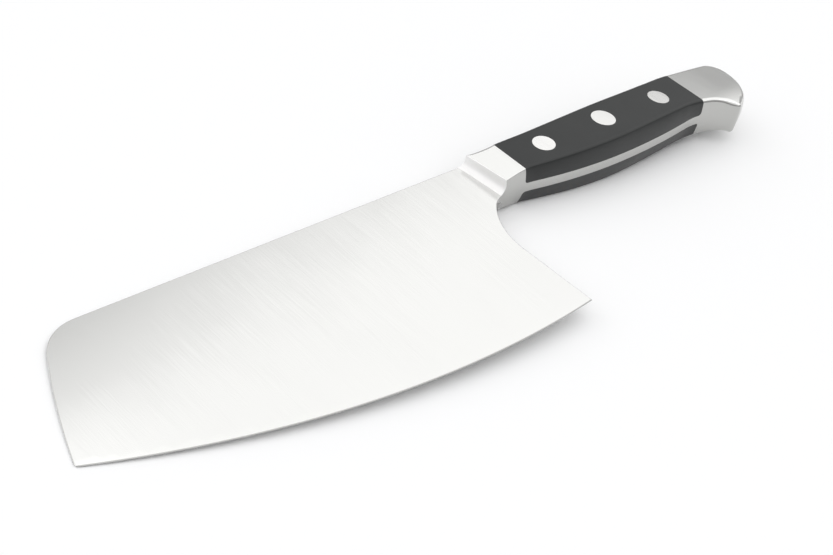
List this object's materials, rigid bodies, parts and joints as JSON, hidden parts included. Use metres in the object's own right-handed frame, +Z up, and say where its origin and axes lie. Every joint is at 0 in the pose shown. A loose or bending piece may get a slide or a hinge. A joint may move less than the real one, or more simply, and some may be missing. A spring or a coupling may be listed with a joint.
{
  "type": "chinese cleaver",
  "caption": "Broad kitchen cleaver with a curved edge, bolster, full tang, black riveted grip and hooked steel pommel, lying on its side.",
  "frame": {"origin": "bottom centre of the knife's box as it lies on its side on a table", "axes": "+X along the knife from its tip to its pommel, +Y from its edge to its spine, +Z up from the table"},
  "size_m": [0.2942, 0.0682, 0.0175],
  "materials": {
    "satin_steel": "fine satin ground",
    "black_scale": "satin moulded, slightly glossy",
    "rivet_metal": "ground flush with the grip"
  },
  "bodies": {
    "root": {"forging": "satin_steel", "upper_scale": "black_scale", "lower_scale": "black_scale", "front_rivet_tube": "rivet_metal", "front_rivet_pin": "rivet_metal", "middle_rivet_tube": "rivet_metal", "middle_rivet_pin": "rivet_metal", "rear_rivet_tube": "rivet_metal", "rear_rivet_pin": "rivet_metal"}
  },
  "joints": []
}
